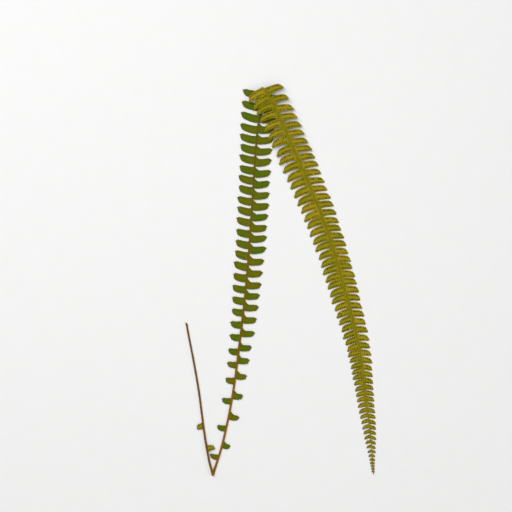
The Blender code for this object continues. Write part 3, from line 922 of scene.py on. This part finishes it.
def make_stalk_material(groups):
    """Dried stipe and rachis: brown stipe, orange then ochre upper face, yellow-olive underside."""
    material, tree, shader, place = new_material("stalk skin")
    grain = read(tree, "grain").outputs["Vector"]
    fibres = use_group(tree, groups["fibres"], {"Grain": grain, "Fineness": 5.0, "Length": 0.35})
    fibre, band = fibres.outputs["Fibres"], fibres.outputs["Bands"]
    apart = split(tree, grain)
    upper_face = ramp(tree, apart[1], -0.3, 0.3)
    travelled = apart[2]
    upper = blend(tree, ramp(tree, travelled, *ORANGE_TO_OCHRE), STALK_ORANGE, STALK_OCHRE)
    upper = blend(tree, ramp(tree, travelled, *OCHRE_TO_OLIVE), upper, STALK_OLIVE)
    colour = blend(tree, upper_face, UNDERSIDE_OLIVE, upper)
    colour = blend(tree, ramp(tree, travelled, *STIPE_END), STIPE_BROWN, colour)
    colour = blend(tree, ramp(tree, band, 0.35, 0.65, 0.0, 0.3), colour, BAND_BROWN)
    colour = blend(tree, ramp(tree, fibre, 0.42, 0.62, 0.0, 0.45), colour, FIBRE_BROWN)
    specks = ramp(tree, noise(tree, place, STALK_SPECKS, 2.0), 0.62, 0.7, 0.0, 0.5)
    colour = blend(tree, specks, colour, SPECK_BROWN)
    set_finish(tree, shader, colour, 0.06, fibre, 0.7, 0.2 * MM)
    tree.links.new(ramp(tree, fibre, 0.3, 0.7, 0.45, 0.65), shader.inputs["Roughness"])
    return material


def make_scale_material():
    """Thin papery scales, brown to pale brown."""
    material, tree, shader, place = new_material("scales")
    broad = noise(tree, place, SCALE_BROAD, 2.0)
    colour = blend(tree, ramp(tree, broad, 0.35, 0.65), SCALE_BROWN, SCALE_PALE)
    tree.links.new(colour, shader.inputs["Base Color"])
    tree.links.new(ramp(tree, broad, 0.3, 0.7, 0.5, 0.75), shader.inputs["Roughness"])
    return material


def grow(carrier, name, tree, values):
    """Runs a Geometry Nodes tree on a carrier mesh and keeps what it makes as a plain mesh."""
    modifier = carrier.modifiers.new(name, "NODES")
    modifier.node_group = tree
    for item in tree.interface.items_tree:
        if item.item_type == "SOCKET" and item.in_out == "INPUT" and item.name in values:
            modifier[item.identifier] = values[item.name]
    evaluated = carrier.evaluated_get(bpy.context.evaluated_depsgraph_get())
    mesh = bpy.data.meshes.new_from_object(evaluated)
    carrier.modifiers.remove(modifier)
    mesh.name = name
    mesh.shade_smooth()
    spots = np.empty((len(mesh.vertices), 3), np.float32)
    mesh.vertices.foreach_get("co", spots.ravel())
    spots[:, 2] = np.clip(spots[:, 2], LOWEST_POINT * MM, cad_box[1][2])
    mesh.vertices.foreach_set("co", spots.ravel())
    return new_object(name, mesh)


INT, MATERIAL, GEOMETRY = "NodeSocketInt", "NodeSocketMaterial", "NodeSocketGeometry"


def place_copies(tree, points, copy, turn, own_turn, size, factor, finish):
    """A copy on every point, turned once more by itself, sized, made real and given its finish."""
    turned = add_node(tree, "FunctionNodeRotateRotation", {"rotation_space": "LOCAL"}, {0: turn, 1: own_turn})
    scale = add_node(tree, "ShaderNodeVectorMath", {"operation": "SCALE"}, {0: size, "Scale": factor})
    inputs = {
        "Points": points, "Instance": copy, "Rotation": turned.outputs[0], "Scale": scale.outputs[0],
    }
    placed = add_node(tree, "GeometryNodeInstanceOnPoints", None, inputs)
    real = add_node(tree, "GeometryNodeRealizeInstances", None, {"Geometry": placed.outputs[0]})
    inputs = {"Geometry": real.outputs[0], "Material": finish}
    return add_node(tree, "GeometryNodeSetMaterial", None, inputs).outputs[0]


def pick(tree, low, high, seed):
    """A random number for each point."""
    inputs = {2: low, 3: high, "Seed": seed}
    return add_node(tree, "FunctionNodeRandomValue", {"data_type": "FLOAT"}, inputs).outputs[1]


def named(tree, kind, name):
    """An attribute that the carrier mesh holds."""
    node = add_node(tree, "GeometryNodeInputNamedAttribute", {"data_type": kind}, {"Name": name})
    return node.outputs["Attribute"]


def make_sorus_tree():
    """A flattened ball on each point, turned to the way that the leaf's underside looks there."""
    tree, given, result = new_group(
        "spore heaps on points", "GeometryNodeTree",
        (
            ("Points", GEOMETRY, None), ("Width", FLOAT, 0.001), ("Height", FLOAT, 0.0003), ("Sides", INT, 8),
            ("Rings", INT, 4), ("Seed", INT, 5), ("Finish", MATERIAL, None),
        ),
        (("Geometry", GEOMETRY),),
    )
    looks = named(tree, "FLOAT_VECTOR", "looks")
    size = named(tree, "FLOAT", "size")
    inputs = {"Segments": given["Sides"], "Rings": given["Rings"], "Radius": 0.5}
    ball = add_node(tree, "GeometryNodeMeshUVSphere", None, inputs)
    turn = add_node(tree, "FunctionNodeAlignRotationToVector", {"axis": "Z"}, {"Vector": looks})
    spin = pick(tree, 0.0, 2 * math.pi, given["Seed"])
    flat = joined(tree, given["Width"], given["Width"], given["Height"])
    points = add_node(tree, "GeometryNodeMeshToPoints", None, {"Mesh": given["Points"]})
    made = place_copies(
        tree, points.outputs[0], ball.outputs["Mesh"], turn.outputs[0], joined(tree, z=spin),
        flat, size, given["Finish"],
    )
    tree.links.new(made, result["Geometry"])
    return tree


def sorus_points(blades, whim):
    """Two rows of points on every pinna's underside, with the way that each looks and its size."""
    places, looks, sizes = [], [], []
    for blade in blades:
        full = blade.length / SORUS_FULL_LENGTH
        gap = SORUS_GAP * min(1, SORUS_LEAST_GAP + (1 - SORUS_LEAST_GAP) * full)
        count = int(blade.length * SORUS_COVERED / gap)
        small = min(1, SORUS_LEAST_SIZE + (1 - SORUS_LEAST_SIZE) * full)
        for side in (-1, 1):
            for number in range(count):
                step = number + 0.5 + SORUS_PLACE_WANDER * whim.uniform(-1, 1)
                share = SORUS_FIRST + SORUS_SPAN * step / count
                row = SORUS_ROW + SORUS_ROW_WANDER * whim.uniform(-1, 1)
                place, look = blade.underside(share, side * row)
                late = max(0, share - SORUS_SHRINK_START) / (1 - SORUS_SHRINK_START)
                size = small * whim.uniform(*SORUS_SIZES) * (1 - SORUS_SHRINK * late)
                if whim.random() > SORUS_MISSING:
                    places.append(place)
                    looks.append(look)
                    sizes.append(size)
    mesh = bpy.data.meshes.new("places of spore heaps")
    mesh.from_pydata(np.array(places) * MM, [], [])
    put_marks(mesh, "looks", "FLOAT_VECTOR", looks)
    put_marks(mesh, "size", "FLOAT", sizes)
    return new_object("places of spore heaps", mesh)


def make_sori(name, blades, tree, material, whim, sides):
    carrier = sorus_points(blades, whim)
    values = {
        "Width": SORUS_WIDTH * MM,
        "Height": SORUS_HEIGHT * MM,
        "Sides": sides,
        "Rings": SORUS_RINGS,
        "Seed": SPIN_SEED,
        "Finish": material,
    }
    piece = grow(carrier, name, tree, values)
    bpy.data.objects.remove(carrier, do_unlink=True)
    return piece


SCALE_THINNESS = 0.3
SCALE_FACTORS = (0.45, 1.15)


def make_scale_tree():
    """Narrow papery scales strewn over a stalk, lying along it and lifted a little at their points."""
    tree, given, result = new_group(
        "scales on stalk", "GeometryNodeTree",
        (
            ("Stalk", GEOMETRY, None), ("Density", FLOAT, 100000.0), ("Length", FLOAT, 0.002),
            ("Width", FLOAT, 0.0003), ("Lift", FLOAT, 0.2), ("Spread", FLOAT, 0.6), ("Lowest", FLOAT, 0.0006),
            ("Seed", INT, 3), ("Size Seed", INT, 4), ("Finish", MATERIAL, None),
        ),
        (("Geometry", GEOMETRY),),
    )
    strewn = add_node(
        tree,
        "GeometryNodeDistributePointsOnFaces",
        {"distribute_method": "RANDOM"},
        {"Mesh": given["Stalk"], "Density": given["Density"], "Seed": given["Seed"]},
    )
    where = tree.nodes.new("GeometryNodeInputPosition")
    height = split(tree, where.outputs[0])
    low = add_node(
        tree, "FunctionNodeCompare", {"data_type": "FLOAT", "operation": "LESS_THAN"},
        {0: height[2], 1: given["Lowest"]},
    )
    kept = add_node(
        tree, "GeometryNodeDeleteGeometry", {"domain": "POINT"},
        {"Geometry": strewn.outputs["Points"], "Selection": low.outputs[0]},
    )
    spike = add_node(
        tree, "GeometryNodeMeshCone", {"fill_type": "NGON"},
        {"Vertices": 4, "Side Segments": 2, "Radius Top": 0.02, "Radius Bottom": 0.5, "Depth": 1.0},
    )
    laid = add_node(
        tree, "GeometryNodeTransform", None,
        {"Geometry": spike.outputs["Mesh"], "Rotation": (0.0, math.pi / 2, 0.0)},
    )
    way = named(tree, "FLOAT_VECTOR", "way")
    upright = add_node(
        tree, "FunctionNodeAlignRotationToVector", {"axis": "Z"}, {"Vector": strewn.outputs["Normal"]}
    )
    along = add_node(
        tree, "FunctionNodeAlignRotationToVector", {"axis": "X", "pivot_axis": "Z"},
        {"Rotation": upright.outputs[0], "Vector": way},
    )
    spread = pick(tree, times(tree, given["Spread"], -1.0), given["Spread"], given["Seed"])
    lift = times(tree, given["Lift"], -1.0)
    own_turn = joined(tree, y=lift, z=spread)
    thin = times(tree, given["Width"], SCALE_THINNESS)
    sizes = joined(tree, given["Length"], given["Width"], thin)
    factor = pick(tree, *SCALE_FACTORS, given["Size Seed"])
    made = place_copies(
        tree, kept.outputs[0], laid.outputs[0], along.outputs[0], own_turn, sizes, factor, given["Finish"]
    )
    tree.links.new(made, result["Geometry"])
    return tree


# Light, paper and camera
FLOOR_SIZE = 14.0
PAPER_TONES = (0.9, 0.9, 0.895, 1), (0.93, 0.93, 0.927, 1)
CAMERA_PLACE = (-0.02515, 0.02398, 1.422)
CAMERA_LENS = 100
LIGHTS = (
    ("top light", (-0.35, 0.5, 1.8), 1.0, 18),
    ("key light", (-1.1, 1.1, 1.4), 1.1, 13),
    ("fill light", (1.3, -0.3, 1.2), 1.4, 6),
    ("low light", (0.1, -1.4, 0.8), 1.0, 3),
)
SKY_STRENGTH = 0.2


def make_floor():
    bpy.ops.mesh.primitive_plane_add(size=FLOOR_SIZE)
    floor = bpy.context.object
    floor.name = "paper"
    material, tree, shader, place = new_material("pale paper")
    tone = blend(tree, noise(tree, place, PAPER_BROAD, 3.0), *PAPER_TONES)
    set_finish(tree, shader, tone, 0.1)
    shader.inputs["Roughness"].default_value = 0.9
    floor.data.materials.append(material)


def make_lights():
    world = bpy.data.worlds.new("studio")
    world.use_nodes = True
    background = world.node_tree.nodes["Background"]
    background.inputs["Color"].default_value = (1, 1, 1, 1)
    background.inputs["Strength"].default_value = SKY_STRENGTH
    bpy.context.scene.world = world
    for name, place, size, power in LIGHTS:
        light = bpy.data.lights.new(name, "AREA")
        light.size = size
        light.energy = power
        lamp = new_object(name, light)
        lamp.location = place
        lamp.rotation_euler = (-Vector(place)).to_track_quat("-Z", "Y").to_euler()


def make_camera():
    camera = bpy.data.cameras.new("camera")
    camera.lens = CAMERA_LENS
    camera.clip_start = 0.01
    holder = new_object("camera", camera)
    holder.location = CAMERA_PLACE
    bpy.context.scene.camera = holder
    bpy.context.scene.view_settings.view_transform = "Standard"


def main():
    make_camera()
    make_lights()
    make_floor()
    groups = {"veins": make_vein_group(), "drying": make_drying_group(), "fibres": make_fibre_group()}
    leaf_upper = make_leaf_material("leaf upper face", groups, UPPER_LOOKS)
    leaf_under = make_leaf_material("leaf underside", groups, UNDER_LOOKS)
    sorus_finish = make_sorus_material()
    stalk_finish = make_stalk_material(groups)
    scale_finish = make_scale_material()

    stipe = lay_stipe()
    rachis, fold_start, fold_end = lay_rachis()
    tip = rachis.along[-1]
    draw, whim = random.Random(SEED), random.Random(WHIM_SEED)
    blades = [Blade(stipe, distance, side, draw, whim) for distance, side in STIPE_PINNAE]
    for side in (LEFT, RIGHT):
        for distance in pinna_places(side, tip - TIP_MARGIN, fold_start, fold_end):
            blades.append(Blade(rachis, distance, side, draw, whim))
    face_up = [blade for blade in blades if not blade.underside_up]
    turned_over = [blade for blade in blades if blade.underside_up]

    sorus_tree = make_sorus_tree()
    stalk = make_stalk(stipe, rachis, stalk_finish, whim)
    scale_sizes = {
        "Density": 150000.0,
        "Length": 1.9 * MM,
        "Width": 0.3 * MM,
        "Lift": 0.14,
        "Spread": 0.7,
        "Lowest": 0.9 * MM,
        "Seed": 3,
        "Size Seed": 4,
        "Finish": scale_finish,
    }
    pieces = (
        (make_pinnae("pinnae_left_leg", face_up, leaf_upper, leaf_under), "leaf_upper"),
        (make_pinnae("pinnae_right_leg", turned_over, leaf_under, leaf_upper), "leaf_under"),
        (make_sori("sori_right_leg", turned_over, sorus_tree, sorus_finish, whim, SIDES_SEEN), "sori"),
        (make_sori("sori_left_leg", face_up, sorus_tree, sorus_finish, whim, SIDES_HIDDEN), "sori"),
        (stalk, "stalk"),
        (grow(stalk, "scales", make_scale_tree(), scale_sizes), "stalk"),
    )
    for piece, slot in pieces:
        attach(piece, BODY)
        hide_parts(NODE)


main()
